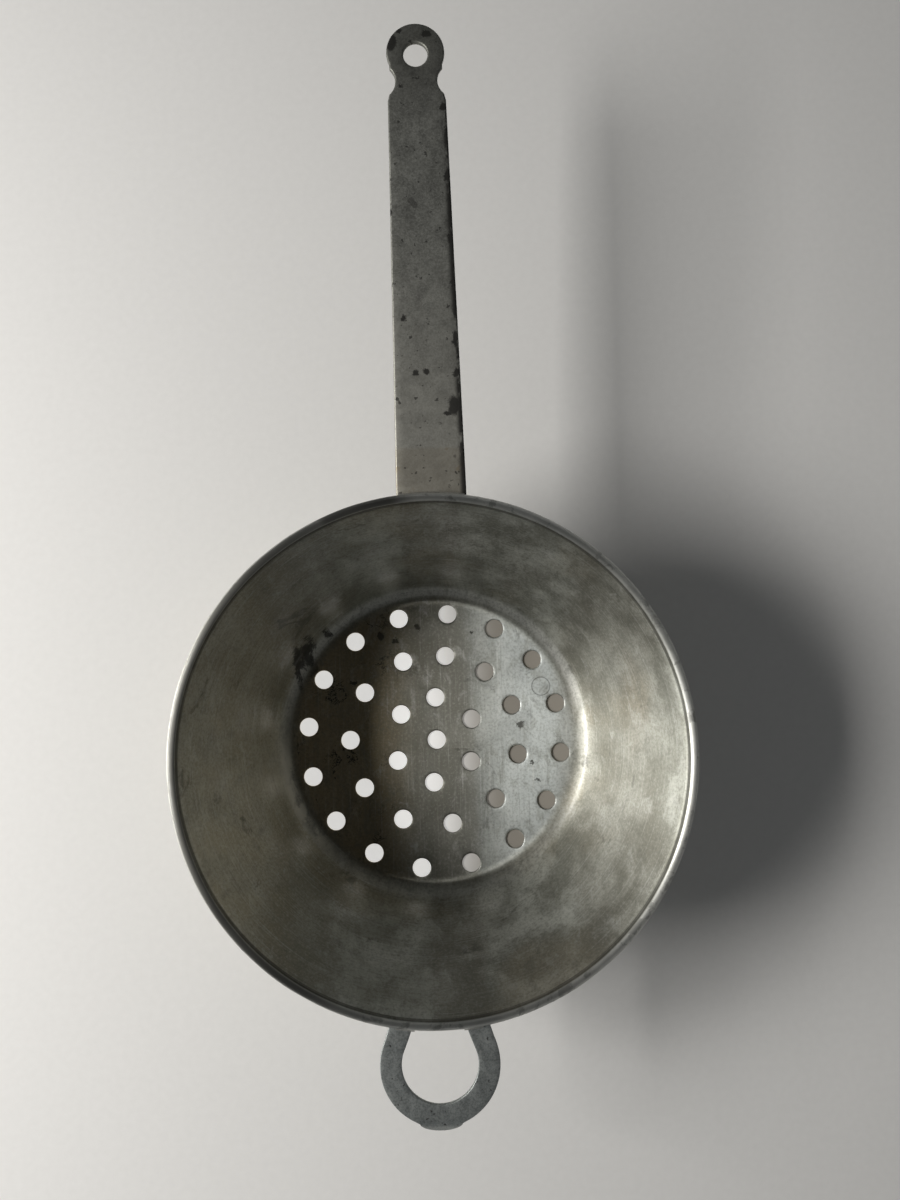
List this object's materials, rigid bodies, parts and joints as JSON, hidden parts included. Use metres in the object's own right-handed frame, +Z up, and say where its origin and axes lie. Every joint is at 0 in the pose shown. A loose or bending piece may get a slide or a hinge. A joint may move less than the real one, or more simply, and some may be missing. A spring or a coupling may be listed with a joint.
{
  "type": "perforated ricing pan",
  "caption": "Round perforated pan of tinned steel for ricing or draining potatoes, with a wired rim, a strap handle with a hanging eye and a loop that rests on a pot.",
  "frame": {"origin": "on the pan's axis, at the underside of its flat bottom", "axes": "+Z up along the pan's axis, out of its mouth; +Y along the handle, away from the pan; +X to the right when the handle points up and the mouth faces the viewer"},
  "size_m": [0.2, 0.4239, 0.072],
  "materials": {
    "tinned_sheet": "hot-tinned sheet, worn and stained, faintly brushed",
    "wire": "plain drawn wire",
    "strap": "dull oxidised tin, mottled, with black worn patches",
    "loop": "dull oxidised tin, mottled",
    "solder": "satin tin"
  },
  "bodies": {
    "root": {"pan": "tinned_sheet", "rim_wire": "wire", "handle": "strap", "rest_loop": "loop", "handle_solder": "solder", "loop_solder_left": "solder", "loop_solder_right": "solder"}
  },
  "joints": []
}
